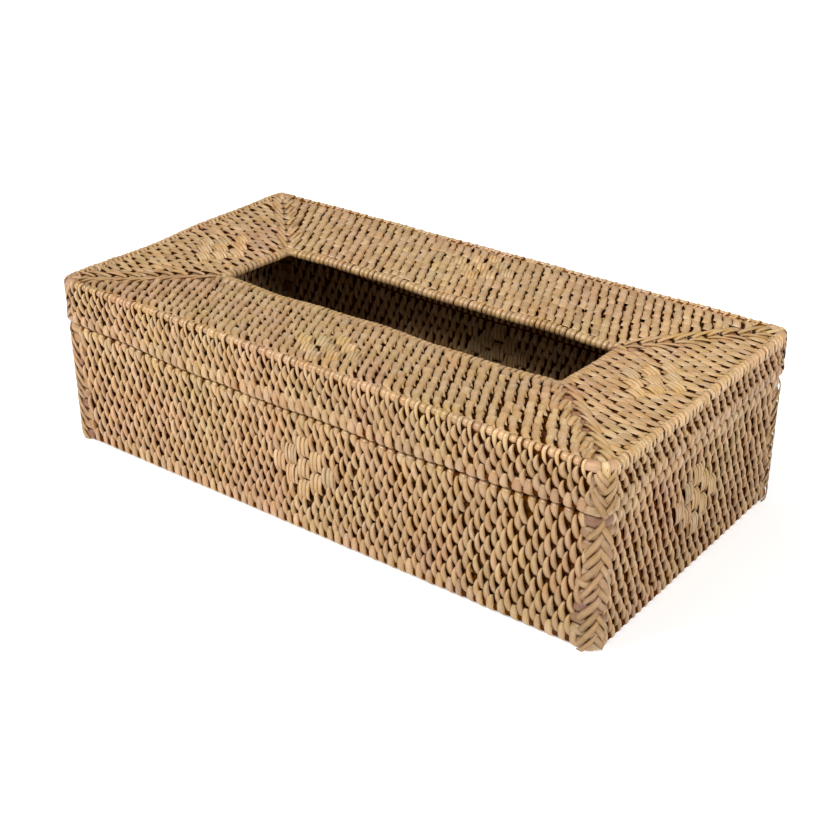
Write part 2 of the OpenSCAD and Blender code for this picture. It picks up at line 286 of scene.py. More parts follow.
# Colours of the cane, linear; each mix gives the shares of HONEY to RUST
HONEY = (0.54, 0.342, 0.165)
PALE = (0.62, 0.425, 0.22)
YELLOW = (0.55, 0.36, 0.15)
TAN = (0.47, 0.28, 0.135)
ROSE = (0.52, 0.305, 0.16)
RUST = (0.40, 0.185, 0.07)
CANE = np.array([HONEY, PALE, YELLOW, TAN, ROSE, RUST])
STRIP_MIX = (0.42, 0.22, 0.10, 0.14, 0.09, 0.03)
GLOW_MIX = (0.34, 0.34, 0.20, 0.08, 0.04, 0.0)
SEAM_MIX = (0.32, 0.08, 0.1, 0.22, 0.08, 0.2)
BARREL_MIX = (0.3, 0.05, 0.1, 0.3, 0.15, 0.1)
SLOT_MIX = (0.28, 0.30, 0.36, 0.06, 0.0, 0.0)
LACE_MIX = (0.46, 0.14, 0.08, 0.27, 0.04, 0.01)
BARE = np.array([(0.38, 0.21, 0.10), (0.30, 0.15, 0.07), (0.42, 0.25, 0.11), (0.46, 0.29, 0.14),
                 (0.26, 0.12, 0.06)])
EDGE_BEND = (0.45, 0.26, 0.14)
# Painted shade: the cane inside the weave, seen only through the holes between strips, is coloured near black
# for the shade there
SHADE_DARK = (0.09, 0.028, 0.005)
# Painted shade: the cane under the lid's edge, seen between its windings and bars, is coloured dark brown for
# the shade in those gaps
EDGE_CORE_SHADE = (0.13, 0.045, 0.012)
MOTIF_TONES = np.array([(0.56, 0.38, 0.20), (0.60, 0.40, 0.21), (0.52, 0.37, 0.21), (0.58, 0.38, 0.18)])


WOUND_ON = 0.45


def tones_for(rng, count, mix=STRIP_MIX):
    """One colour for each strip: neighbours are often the same strip wound on."""
    picks = rng.choice(len(CANE), size=count, p=mix)
    kept = rng.random(count) < WOUND_ON
    for i in range(1, count):
        if kept[i]:
            picks[i] = picks[i - 1]
    other = CANE[rng.choice(len(CANE), size=count, p=mix)]
    blend = rng.uniform(0.2, 0.8, (count, 1))
    light = rng.normal(1.0, 0.07, (count, 1))
    middle = np.average(CANE, axis=0, weights=mix)
    return (0.5 * middle + 0.5 * (CANE[picks] * (1 - blend) + other * blend)) * light


# Shapes of a strip: t runs from the tail to the head, s from edge to edge
class Shape:
    """width and depth are given along t. bow, tip and tail move the middle, the head and the tail sideways.
    dome and drop lower the shoulders and the edges, closed adds an underside, cut squares the ends off along
    the courses, and rim_shade and fade paint shade into the colour at the edges and at the tail."""

    def __init__(self, t, width, depth, bow=0.0, tip=0.0, tail=0.0, dome=0.16, drop=0.5, closed=False,
                 cut=0.0, rim_shade=0.45, fade=0.15):
        self.t = np.array(t)
        self.width = self.keyed(width)
        self.depth = self.keyed(depth)
        self.shift = bow * np.sin(np.pi * self.t) + tip * np.clip((self.t - 0.6) / 0.4, 0, 1) ** 2
        self.shift = self.shift + tail * np.clip((0.45 - self.t) / 0.45, 0, 1) ** 1.5
        if closed:
            self.s = np.array([-1, -0.86, -0.45, 0, 0.45, 0.86, 1, 0.7, -0.7])
            self.n = np.array([-drop / 2, -dome, -dome / 4, 0, -dome / 4, -dome, -drop / 2, -drop, -drop])
        else:
            self.s = np.array([-1, -0.86, -0.45, 0, 0.45, 0.86, 1])
            self.n = np.array([-drop, -dome, -dome / 4, 0, -dome / 4, -dome, -drop])
        self.closed = closed
        self.cut = cut
        self.rim_shade = rim_shade
        self.fade = fade

    def keyed(self, values):
        if len(values) == len(self.t):
            return np.array(values, float)
        return np.interp(self.t, np.linspace(0, 1, len(values)), values)


FINE_T = (0, 0.03, 0.08, 0.18, 0.3, 0.42, 0.58, 0.7, 0.82, 0.92, 0.97, 1)
ROUGH_T = (0, 0.08, 0.25, 0.5, 0.75, 0.92, 1)
LONG_T = tuple(np.linspace(0, 1, 19))


def lay(batch, place, p0, q0, p1, q1, width, shape, colour, rng, lift=0.0, tilt=0.06):
    """Lays strips from their tails (p0, q0) to their heads (p1, q1) on the surface that place maps."""
    p0, q0, p1, q1 = [np.asarray(x, float)[:, None, None] for x in (p0, q0, p1, q1)]
    count = len(p0)
    width = (np.asarray(width, float) * np.ones(count))[:, None, None]
    lift = (np.asarray(lift, float) * np.ones(count))[:, None, None]
    t, s = shape.t[None, :, None], shape.s[None, None, :]
    length = np.hypot(p1 - p0, q1 - q0)
    up, uq = (p1 - p0) / length, (q1 - q0) / length
    side = s * width / 2 * shape.width[None, :, None] + shape.shift[None, :, None]
    wobble = rng.normal(0, 0.05, (count, 1, 1)) * np.sin(2 * np.pi * t)
    p = p0 + (p1 - p0) * t + uq * (side + wobble)
    q = q0 + (q1 - q0) * t - up * (side + wobble) * (1 - shape.cut)
    lean = rng.normal(0, tilt, (count, 1, 1))
    n = lift + shape.depth[None, :, None] + shape.n[None, None, :] + lean * s
    n = n + rng.normal(0, 0.05, (count, 1, 1))
    # Painted shade: each strip's colour is darkened towards its edges and its tail, and turns redder as it
    # darkens
    shade = (1 - shape.rim_shade * np.abs(s) ** 3) * (1 - shape.fade * (1 - t) ** 2)
    tone = np.asarray(colour)[:, None, None, :] * shade[..., None] ** np.array([1.0, 1.4, 2.0])
    mark = rng.uniform(0, 900, (count, 1, 1))
    fibre = np.stack(np.broadcast_arrays(s * width / 2, t * length, mark), -1)
    batch.grid(place(p, q, n), tone, fibre, shape.closed)


def sweep(batch, points, radius, colour, rng, ring, bump, rise=None, inner=False):
    """Cane along a level path of points, its ends closed, with ring points round it and uneven by bump;
    rise is its half height if it isn't round."""
    points = np.asarray(points, float)
    tangent = np.gradient(points, axis=0)
    tangent /= np.linalg.norm(tangent, axis=1)[:, None]
    out = np.stack([-tangent[:, 1], tangent[:, 0], 0 * tangent[:, 0]], -1)
    count = len(points)
    r = radius * (1 + rng.normal(0, bump, count))
    r[[0, -1]] *= 0.05
    angle = np.linspace(0, 2 * np.pi, ring, endpoint=False)
    up = np.array([0, 0, (rise or radius) / radius])
    across = np.cos(angle)[:, None] * out[:, None] + np.sin(angle)[:, None] * up
    p = points[:, None] + r[:, None, None] * across
    along = np.concatenate([[0], np.cumsum(np.linalg.norm(np.diff(points, axis=0), axis=1))])
    mark = rng.uniform(0, 900)
    fibre = np.stack(np.broadcast_arrays(radius * 2.2 * np.cos(angle)[None], along[:, None], mark), -1)
    shade = 1 + rng.normal(0, 0.05, (1, count, 1))
    tone = np.asarray(colour)[None, None, None, :] * np.broadcast_to(shade, (1, count, ring))[..., None]
    batch.grid(p[None], tone, fibre[None], True, inner)


def along_cane(a0, a1, count):
    """Places along a straight cane, close together at its ends."""
    return np.concatenate([[a0, a0 + 0.2], np.linspace(a0 + 1, a1 - 1, count), [a1 - 0.2, a1]])


def straight_cane(batch, k, v, z, radius, a0, a1, colour, rng, rise=None, inner=False):
    """A straight length of cane along side k."""
    a = along_cane(a0, a1, max(3, int((a1 - a0) / 7)))
    path = at_side(k, a, np.full(len(a), v), np.full(len(a), z))
    sweep(batch, path, radius, colour, rng, 10, 0.03, rise, inner)


def core(batch, k, v, z, radius, reach, rng, rise=None, colour=SHADE_DARK):
    """Cane inside the weave of side k, coloured near black for the shade in the holes between strips; it
    reaches equally far from its middle both ways.
    """
    straight_cane(batch, k, v, z, radius, -reach, reach, colour, rng, rise, True)


def bend_cane(batch, k, v, z, radius, reach, reach_next, colour, rng, rise=None):
    """Cane that bends round corner k, reaching along both sides."""
    half = run(k) / 2 - v - BEND_R
    angle = np.radians(np.linspace(0, 90, 9))
    a = np.concatenate([[half - reach, half - reach + 0.3, half - reach * 0.5],
                        half + BEND_R * np.sin(angle), np.full(3, half + BEND_R)])
    across = np.concatenate([[v, v, v], v + BEND_R - BEND_R * np.cos(angle),
                             v + BEND_R + np.array([0.5 * reach_next, reach_next - 0.3, reach_next])])
    sweep(batch, at_side(k, a, across, np.full(len(a), z)), radius, colour, rng, 14, 0.025, rise)


# Front and back walls: wide at the tail, with a narrow head that dives between the strips of the next course
WALL = Shape(FINE_T, (1.12, 1.2, 1.24, 1.22, 1.14, 1.02, 0.86, 0.74, 0.6, 0.47, 0.37, 0.22),
             (-1.4, -1.0, -0.75, -0.5, -0.25, -0.05, 0.12, 0.2, 0.16, 0.0, -0.25, -0.75),
             0, 0.8, 1.2, dome=0.32, drop=0.9, rim_shade=0.4, fade=0.26)
# Right and left walls: both ends dive deep
SLANT = Shape(FINE_T, (0.66, 0.74, 0.82, 0.93, 0.98, 1, 1, 0.97, 0.88, 0.74, 0.6, 0.45),
              (-2.05, -1.75, -1.2, -0.55, -0.25, -0.06, 0, -0.2, -0.5, -0.95, -1.4, -1.8),
              0, -0.2, 0.3, dome=0.36, drop=1.0, rim_shade=0.5, fade=0.15)
# Front and back panels of the top: flat steps
PANEL = Shape(FINE_T, (0.9, 0.95, 0.98, 1, 1, 1, 1, 1, 1, 1, 0.99, 0.96),
              (-1.1, -0.7, -0.4, -0.18, -0.08, 0, 0.02, 0.05, 0.08, 0.08, 0.0, -0.35),
              0, 0.5, 1.3, dome=0.06, drop=0.8, cut=1, rim_shade=0.2)
# Right and left panels of the top
SLIM = Shape(FINE_T, (0.6, 0.7, 0.8, 0.92, 1, 1, 1, 1, 0.95, 0.85, 0.75, 0.55),
             (-1.2, -0.9, -0.6, -0.3, -0.1, 0, 0.02, 0, -0.1, -0.3, -0.5, -0.8),
             0, 0, 0.6, dome=0.12, drop=0.6, cut=0.5, rim_shade=0.3)
# The inner faces, the lip and, coarser, the floor
INNER = Shape(ROUGH_T, (0.5, 0.75, 0.95, 1, 0.95, 0.7, 0.4), (-1.6, -0.9, -0.2, 0, -0.2, -0.8, -1.2))
FLOOR = Shape((0, 0.2, 0.5, 0.8, 1), (0.5, 0.9, 1, 0.9, 0.4), (-1.6, -0.4, 0, -0.4, -1.2))
# The lowest course of the base and of the lid
HANGING = Shape(FINE_T, (0.95, 1, 1, 1, 1, 1, 0.97, 0.92, 0.84, 0.74, 0.62, 0.45),
                (-0.4, -0.1, 0, 0, 0, 0, 0.08, 0.1, 0.02, -0.15, -0.4, -0.9),
                0, 0.3, 0.3, dome=0.3, drop=0.9, rim_shade=0.3)
# The rim of the base, the edge of the lid with the bars between its windings, and the rim of the slot
RIM_WALL = Shape(LONG_T, (0.5, 0.7, 0.9, 1, 1, 1, 1, 1, 0.9, 0.7),
                 (-1.9, -0.8, -0.2, 0, 0, 0, 0, 0, -0.25, -1.0), 0, 0, 0.8, dome=0.3, drop=0.8)
EDGE = Shape(LONG_T, (0.5, 0.75, 0.9, 0.95, 1, 1, 1, 1, 1, 0.95, 0.6),
             (-1.9, -0.8, -0.25, 0, 0, 0, 0, -0.05, -0.1, -0.35, -1.0), 0.0, 1.6, 1.3, dome=0.35)
BARREL = Shape(LONG_T, (1, 1, 1, 1, 1, 1), (-0.8, -0.1, 0, 0, -0.1, -0.8), 0, 0.6, 0, dome=0.34, drop=1.1,
               rim_shade=0.6)
WRAP = Shape(LONG_T, (0.6, 0.9, 1, 1, 1, 1, 1, 1, 0.9, 0.7), (-1.2, -0.25, 0, 0, 0, 0, 0, 0, -0.25, -1.0),
             -0.1, 0.2, dome=0.28)
# The strips of the herringbone and the strands of a patch
LACE = Shape(LONG_T, (0.8, 0.97, 1, 1, 1, 1, 1, 0.98, 0.9),
             (-0.8, -0.3, -0.08, 0, 0.03, 0, -0.06, -0.3, -0.7), 0.05, 0, dome=0.07, drop=0.42, closed=True)
STRAND = Shape(LONG_T, (0.9, 0.98, 1, 1, 1, 1, 1, 0.98, 0.9),
               (-1.3, -0.35, 0.0, 0.1, 0.1, 0.1, 0.0, -0.35, -1.3), 0, 0, dome=0.05, drop=0.3)


def on_loop(k, loop):
    """Maps p along side k, q along its outline and n out of it to a point."""
    def place(p, q, n):
        v, z = loop.place(q, n)
        return at_side(k, p, v, z)
    return place


# How far a strip strays from its place, as shares of the pitch and of its length, and how its width varies
STRAY_ALONG, STRAY_ENDS, STRAY_WIDTH = 0.06, 0.045, 0.1


def row(batch, k, loop, b0, b1, half0, half1, pitch, phase, lean, width, shape, rng, skip=None, lift=0.0,
        mix=STRIP_MIX):
    """One row of strips on side k between the lengths b0 and b1 of its outline; half0 and half1 bound it."""
    reach = run(k) / 2
    count = round(2 * reach / pitch)
    u = (np.arange(count + 1) + phase) * 2 / count - 1
    a = reach * (u + DRIFT[k] * (u ** 2 - 1) + SPREAD[k] * (u ** 3 - u))
    a = a + rng.normal(0, STRAY_ALONG * pitch, count + 1)
    width = width * (1 + 2 * DRIFT[k] * u)
    tail = a - lean / 2 + rng.normal(0, 0.12, len(a))
    head = a + lean / 2 + rng.normal(0, 0.12, len(a))
    keep = (np.abs(tail) < half0) & (np.abs(head) < half1)
    if skip is not None:
        keep &= ~skip(a)
    tail, head, width = tail[keep], head[keep], width[keep]
    count = len(tail)
    span = b1 - b0
    low = b0 + rng.normal(0, STRAY_ENDS * abs(span), count)
    high = b1 + rng.normal(0, STRAY_ENDS * abs(span), count)
    lay(batch, on_loop(k, loop), tail, low, head, high, width * rng.normal(1, STRAY_WIDTH, count), shape,
        tones_for(rng, count, mix), rng, lift)


# The diamond motif: columns of patches two courses tall. COLUMNS is the number of patches in each
PATCH_PITCH = 6.1
PATCH_W = 5.9
COLUMNS = (1, 2, 3, 2, 1)


def patches(step):
    """Centres of the patches, along the courses and across them."""
    return [((c - 2) * PATCH_PITCH, (2 * j - count + 1) * step)
            for c, count in enumerate(COLUMNS) for j in range(count)]


def hidden_by_patch(offset, step, margin=0.9):
    """Whether a strip at a, on a course that lies offset from the motif's centre, is under a patch."""
    def test(a):
        found = np.zeros(len(a), bool)
        for centre, height in patches(step):
            if abs(offset - height) < 0.75 * step:
                found |= np.abs(a - centre) < PATCH_W / 2 - margin
        return found
    return test


def motif(batch, place, q_mid, step, q_scale, lean, rng, lift=0.3, light=1.0):
    """Diamond of patches, each of parallel strands."""
    for centre, height in patches(step):
        strands = 4 if rng.random() < 0.5 else 3
        pitch = PATCH_W / strands
        at = centre + (np.arange(strands) - (strands - 1) / 2) * pitch + rng.normal(0, 0.1, strands)
        mid = q_mid + height * q_scale + rng.normal(0, 0.25)
        reach = 0.93 * step
        tilt = lean * 2 * reach / step + rng.normal(0, 0.12)
        tone = light * MOTIF_TONES[rng.integers(4)] * rng.normal(1, 0.06, (strands, 1))
        lay(batch, place, at - tilt / 2, np.full(strands, mid - reach), at + tilt / 2,
            np.full(strands, mid + reach), pitch, STRAND, tone, rng, lift, 0.03)


# Round the corners: p runs along side k and on round the corner to side k + 1
def round_corner(k, inset, radius):
    half = run(k) / 2 - inset - radius

    def place(p, q, n):
        angle = np.clip((p - half) / radius, 0, np.pi / 2)
        beyond = np.maximum(p - half - radius * np.pi / 2, 0)
        a = np.minimum(p, half) + (radius + n) * np.sin(angle)
        v = inset + radius - (radius + n) * np.cos(angle) + beyond
        return at_side(k, a, v, q)
    return place, half + radius * np.pi / 4


def diagonal(k):
    """Up over the lid's corner k and in along its mitre; p runs across, q along the lid's outline."""
    axis = LID_V + COURSE_R + BEND_R

    def place(p, q, n):
        v, z = lid_loop.place(q, n)
        v = np.where(v < axis, axis - (axis - v) / math.sqrt(2), v)
        return at_side(k, run(k) / 2 - v + p / math.sqrt(2), v + p / math.sqrt(2), z)
    return place


ARM_LONG = 6.2
ARM_SHORT = 5.2
STRIP_W = 2.3


def arm(k):
    return ARM_SHORT if k % 2 else ARM_LONG


def lacing(batch, k, inset, heights, fall, reaches, slopes, top_z, rng):
    """Herringbone of flat strips; fall is 1 for arms that run down from the corner, -1 for up."""
    place, corner = round_corner(k, inset, BEND_R + COURSE_R)
    count = len(heights)
    for side, reach, slope in ((-1, reaches[0], slopes[0]), (1, reaches[1], slopes[1])):
        reach = reach + rng.normal(0, 0.6, count)
        start = rng.uniform(0.6, 1.5, count) if side < 0 else rng.uniform(-0.2, 0.4, count)
        slope = math.tan(math.radians(slope)) * rng.normal(1, 0.11, count)
        top = heights + rng.normal(0, 0.25, count) + (0.0 if side < 0 else -0.3)
        reach = np.minimum(reach, np.where(fall < 0, (top_z - top) / slope, reach))
        end_p, end_q = corner + side * reach, top - fall * slope * reach
        start_p, start_q = corner - side * start, top + fall * slope * start * 0.7
        lift = 0.45 + (0.08 if side < 0 else 0.0)
        width = STRIP_W * rng.normal(0.95, 0.13, count)
        ends = (end_p, end_q, start_p, start_q) if fall > 0 else (start_p, start_q, end_p, end_q)
        lay(batch, place, *ends, width, LACE, 0.88 * tones_for(rng, count, LACE_MIX), rng, lift, 0.05)


# Materials
def cane_material(name, rough, rough_swing, specular, coat, grain, relief):
    """Split cane: colour from the strip, lengthwise fibres, mottling and a worn gloss."""
    mat = bpy.data.materials.new(name)
    mat.use_nodes = True
    tree = mat.node_tree
    tree.nodes.clear()

    def node(kind, **values):
        made = tree.nodes.new(kind)
        for key, value in values.items():
            setattr(made, key, value)
        return made

    def link(a, b):
        tree.links.new(a, b)

    def noise(vector, scale, detail, roughness):
        made = node("ShaderNodeTexNoise")
        made.inputs["Scale"].default_value = scale
        made.inputs["Detail"].default_value = detail
        made.inputs["Roughness"].default_value = roughness
        link(vector, made.inputs["Vector"])
        return made.outputs["Fac"]

    def spread(value, low, high):
        made = node("ShaderNodeMapRange")
        made.inputs["From Min"].default_value = 0.3
        made.inputs["From Max"].default_value = 0.7
        made.inputs["To Min"].default_value = low
        made.inputs["To Max"].default_value = high
        link(value, made.inputs["Value"])
        return made.outputs["Result"]

    out = node("ShaderNodeOutputMaterial")
    shader = node("ShaderNodeBsdfPrincipled")
    shader.inputs["Specular IOR Level"].default_value = specular
    shader.inputs["Coat Weight"].default_value = coat
    shader.inputs["Coat Roughness"].default_value = 0.3
    link(shader.outputs["BSDF"], out.inputs["Surface"])
    tone = node("ShaderNodeAttribute", attribute_name="tone")
    fibre = node("ShaderNodeAttribute", attribute_name="fibre")
    stretch = node("ShaderNodeVectorMath", operation="MULTIPLY")
    stretch.inputs[1].default_value = (2.6, 0.30, 1.0)
    link(fibre.outputs["Vector"], stretch.inputs[0])
    coords = node("ShaderNodeTexCoord")
    fibres = noise(stretch.outputs["Vector"], 1.0, 4, 0.65)
    blotch = noise(coords.outputs["Object"], 160, 3, 0.6)
    patchy = noise(coords.outputs["Object"], 28, 2, 0.5)

    hue = node("ShaderNodeHueSaturation")
    link(spread(patchy, 0.492, 0.508), hue.inputs["Hue"])
    link(spread(blotch, 0.9, 1.12), hue.inputs["Saturation"])
    link(spread(blotch, 1.1, 0.9), hue.inputs["Value"])
    link(tone.outputs["Color"], hue.inputs["Color"])
    grained = node("ShaderNodeVectorMath", operation="SCALE")
    link(hue.outputs["Color"], grained.inputs[0])
    link(spread(fibres, 1 - grain, 1 + grain * 0.6), grained.inputs["Scale"])
    link(grained.outputs["Vector"], shader.inputs["Base Color"])
    link(spread(fibres, rough - rough_swing, rough + rough_swing), shader.inputs["Roughness"])
    bump = node("ShaderNodeBump")
    bump.inputs["Strength"].default_value = relief
    bump.inputs["Distance"].default_value = 0.00025
    link(fibres, bump.inputs["Height"])
    link(bump.outputs["Normal"], shader.inputs["Normal"])
    return mat


WRAPPED = cane_material("wrapped_cane", 0.35, 0.10, 0.5, 0.1, 0.24, 0.6)
BINDING = cane_material("rim_binding", 0.33, 0.10, 0.5, 0.3, 0.20, 0.5)
LACING = cane_material("lacing_strip", 0.50, 0.10, 0.4, 0.0, 0.28, 0.6)
BARE_CANE = cane_material("bare_cane", 0.42, 0.08, 0.45, 0.1, 0.32, 0.5)
STRANDS = cane_material("patch_strands", 0.52, 0.10, 0.35, 0.0, 0.26, 0.5)
# Painted shade: rough and without gloss, for the cane inside the weave that is coloured dark for shade
SHADE_CANE = cane_material("shaded_cane", 0.85, 0.05, 0.0, 0.0, 0.3, 0.5)

# The weave of the walls, with a value for each side in the order of SIDES. DRIFT and SPREAD are how the
# pitch changes along a side.
PITCH = (4.43, 4.65, 4.43, 4.65)
DRIFT = (0.034, 0.0, 0.034, 0.0)
SPREAD = (0.07, 0.0, 0.07, 0.0)
LEAN = (-0.4, -1.0, -0.4, -1.0)
SHAPES = (WALL, SLANT, WALL, SLANT)
STRIP_WIDTH = (2.6, 2.0, 2.6, 2.0)
# How many courses a strip reaches down and up from its own, on the outer and the inner face
REACH = 0.9
REACH_UP = (1.0, 0.9, 1.0, 0.9)
INNER_REACH = 0.85
BASE_TOP_REACH, SKIRT_TOP_REACH = 1.2, 0.75
INNER_W = 2.6
RIM_W = 3.4
SEAM_W = 3.6
# Half widths and half heights of the cane inside and of the bends
CORE_R = 0.7
CORE_RISE = 2.42
BEND_W = 2.1
BEND_RISE = 2.36
MOTIF_Z = 28.0


def base_course_z(i):
    return COURSE_R + i * BASE_STEP


# How far from the corner the weave of one row stops on each side; the low rows of the front stop early
EARLY_ROWS, EARLY = 5, 2.4
ends = {}
end_rng = np.random.default_rng(11)
for body, rows in (("base", BASE_ROWS + 1), ("lid", SKIRT_ROWS + 1)):
    for k in range(4):
        for i in range(rows):
            ends[body, k, i] = arm(k) + end_rng.uniform(-0.8, 1.8) - (1.2 if body == "lid" else 0)
            if body == "base" and k == 0 and i < EARLY_ROWS:
                ends[body, k, i] += EARLY

motif_step = round((MOTIF_Z - COURSE_R) / BASE_STEP - 0.5)
MOTIF_MID = COURSE_R + (motif_step + 0.5) * BASE_STEP


# Base. Each piece draws from a generator of its own
def base_wall(k):
    """Courses with a strip from each to the next on both faces; the lowest hang round their course."""
    rng = np.random.default_rng(100 + k)
    batch = Batch()
    for i in range(BASE_ROWS):
        z = base_course_z(i)
        half = run(k) / 2 - BASE_V - ends["base", k, i]
        up = BASE_TOP_REACH if i == BASE_ROWS - 1 else REACH_UP[k]
        b0, b1 = base_b(z - REACH * BASE_STEP), base_b(z + up * BASE_STEP)
        width, shape = STRIP_WIDTH[k], SHAPES[k]
        if i == 0:
            b0 = BASE_B0 - 1.7 * COURSE_R
            width, shape = 1.2 * width, HANGING
        lean = LEAN[k] + rng.normal(0, 0.35)
        skip = hidden_by_patch(z - MOTIF_MID, BASE_STEP)
        row(batch, k, base_loop, b0, b1, half, half, PITCH[k], 0.5 * (i % 2), lean, width, shape, rng, skip)
        if i < BASE_ROWS - 1:
            b0, b1 = base_b(z + INNER_REACH * BASE_STEP, True), base_b(z - INNER_REACH * BASE_STEP, True)
            row(batch, k, base_loop, b0, b1, half, half, PITCH[k], 0.5 * (i % 2) + 0.5, -lean, INNER_W,
                INNER, rng, skip)
        core(batch, k, BASE_V + COURSE_R, z + BASE_STEP / 2, CORE_R, half + 2, rng, CORE_RISE)
    core(batch, k, BASE_V + COURSE_R, COURSE_R, COURSE_R - 0.45, half + 2, rng)
    batch.make("weave_base_wall_" + SIDES[k], "base_wall_" + SIDES[k], "base", WRAPPED)


def base_rim(k):
    """Windings over the top course, down on both faces."""
    rng = np.random.default_rng(120 + k)
    batch = Batch()
    z = base_course_z(BASE_ROWS)
    half = run(k) / 2 - BASE_V - ends["base", k, BASE_ROWS]
    b0, b1 = base_b(z - BASE_STEP), base_b(z - 0.7 * BASE_STEP, True)
    row(batch, k, base_loop, b0, b1, half, half, PITCH[k], 0, 0.3, RIM_W, RIM_WALL, rng, mix=GLOW_MIX)
    core(batch, k, BASE_V + COURSE_R, z, COURSE_R - 0.8, half + 2, rng)
    batch.make("binding_base_rim_" + SIDES[k], "base_rim_" + SIDES[k], "base", BINDING)


def bends(batch, k, body, rows, v, height, rng):
    """The bare cane of a stack of courses where it turns round corner k."""
    for i in range(rows):
        reach = ends[body, k, i] - BEND_R
        reach_next = ends[body, (k + 1) % 4, i] - BEND_R
        bend_cane(batch, k, v, height(i), BEND_W, reach, reach_next, BARE[rng.integers(5)], rng, BEND_RISE)


def base_corner(k):
    rng = np.random.default_rng(140 + k)
    batch = Batch()
    bends(batch, k, "base", BASE_ROWS + 1, BASE_V + COURSE_R, base_course_z, rng)
    batch.make("cane_base_corner_" + CORNERS[k], "base_corner_" + CORNERS[k], "base", BARE_CANE)


# Slopes of the lacing before and after the corner, in degrees, and how far the lid's arms reach
BASE_SLOPES = (52, 54)
LID_SLOPES = (62, 54)
LID_ARMS = (4.6, 5.4)


def base_lacing(k):
    rng = np.random.default_rng(160 + k)
    batch = Batch()
    heights = BASE_H - 1.2 - BASE_STEP * np.arange(BASE_ROWS) - 0.5 * STRIP_W
    lacing(batch, k, BASE_V, heights, 1, (arm(k), arm(k + 1)), BASE_SLOPES, BASE_H, rng)
    batch.make("strips_base_lacing_" + CORNERS[k], "base_lacing_" + CORNERS[k], "base",
               LACING)


def base_motifs():
    rng = np.random.default_rng(180)
    batch = Batch()
    for k in range(4):
        lean = LEAN[k] * 0.25
        motif(batch, on_loop(k, base_loop), base_b(MOTIF_MID), BASE_STEP, 1, lean, rng)
        motif(batch, on_loop(k, base_loop), base_b(MOTIF_MID, True), BASE_STEP, -1, -lean, rng)
    batch.make("strands_base_motifs", "base_motifs", "base", STRANDS)


LIP_ROWS = 5
LIP_THICK = 2.8
LIP_PITCH = 3.3
LIP_W = 2.0


def base_lip(k):
    """Fine courses wrapped on the slant, inside the rim; the top one is bare."""
    rng = np.random.default_rng(200 + k)
    batch = Batch()
    v0, v1 = lip_lo[1] + WIDTH / 2, lip_lo[1] + WIDTH / 2 + LIP_THICK
    z0, z1 = lip_lo[2], lip_hi[2]
    r = (v1 - v0) / 2
    step = (z1 - z0 - 2 * r) / (LIP_ROWS - 1)
    radius = BEND_R + 2 * r
    half = run(k) / 2 - v0 - radius
    p_end = half + (radius * np.pi / 2 if k % 2 == 0 else 0)
    outer, _ = round_corner(k, v0, radius)

    def face(inner):
        def place(p, q, n):
            right = outer(np.abs(p), q, -2 * r - n if inner else n)
            left = right.copy()
            left[..., k % 2] *= -1
            return np.where(np.asarray(p < 0)[..., None], left, right)
        return place

    count = int(2 * p_end / LIP_PITCH)
    for i in range(LIP_ROWS):
        z = z0 + r + i * step
        p = -p_end + (np.arange(count) + 0.5 + 0.5 * (i % 2)) * 2 * p_end / count
        p = p[np.abs(p) < p_end - 1.2]
        n = len(p)
        top, low = min(z + 0.8 * step, z1 - 0.1), max(z - 0.8 * step, z0 + 0.1)
        for inner, slant in ((False, 0.7), (True, -0.7)):
            lay(batch, face(inner), p - slant, np.full(n, low), p + slant, np.full(n, top), LIP_W, INNER,
                tones_for(rng, n), rng, -0.1)
        along = np.linspace(-p_end, p_end, max(9, int(p_end / 3)))
        path = face(False)(along, np.full(len(along), z), np.full(len(along), -r))
        top_course = i == LIP_ROWS - 1
        sweep(batch, path, r * 0.6, TAN if top_course else SHADE_DARK, rng, 10, 0.02, step * 0.52, not top_course)
    batch.make("weave_base_lip_" + SIDES[k], "base_lip_" + SIDES[k], "base", WRAPPED)


FLOOR_ROWS = 28
FLOOR_W = 2.4


def base_floor():
    """Lengthwise courses, wrapped above and below."""
    rng = np.random.default_rng(220)
    batch = Batch()
    half = floor_hi[0]
    pitch = (floor_hi[1] - floor_lo[1] - 2 * COURSE_R) / (FLOOR_ROWS - 1)
    top, bottom = floor_hi[2], floor_lo[2]

    def above(p, q, n):
        return np.stack(np.broadcast_arrays(p, q, top + n), -1)

    def below(p, q, n):
        return np.stack(np.broadcast_arrays(p, -q, bottom - n), -1)

    count = int(2 * half / PITCH[0])
    for i in range(FLOOR_ROWS):
        y = floor_lo[1] + COURSE_R + i * pitch
        a = -half + (np.arange(count) + 0.25 + 0.5 * (i % 2)) * 2 * half / count
        n = len(a)
        q0 = max(y - INNER_REACH * pitch, floor_lo[1] + 0.2)
        q1 = min(y + INNER_REACH * pitch, floor_hi[1] - 0.2)
        for place, tail, head in ((above, q0, q1), (below, -q1, -q0)):
            lay(batch, place, a - 0.5, np.full(n, tail), a + 0.5, np.full(n, head), FLOOR_W, FLOOR,
                tones_for(rng, n), rng)
        a = np.concatenate([[-half, -half + 0.2], np.linspace(-half + 2, half - 2, 24), [half - 0.2, half]])
        path = np.stack([a, np.full(len(a), y), np.full(len(a), (top + bottom) / 2)], -1)
        sweep(batch, path, pitch * 0.52, SHADE_DARK, rng, 8, 0.02, CORE_R, True)
    batch.make("weave_base_floor", "base_floor", "base", WRAPPED)


# Lid
def lid_row_z(i):
    return LID_RIM_Z + i * SKIRT_STEP


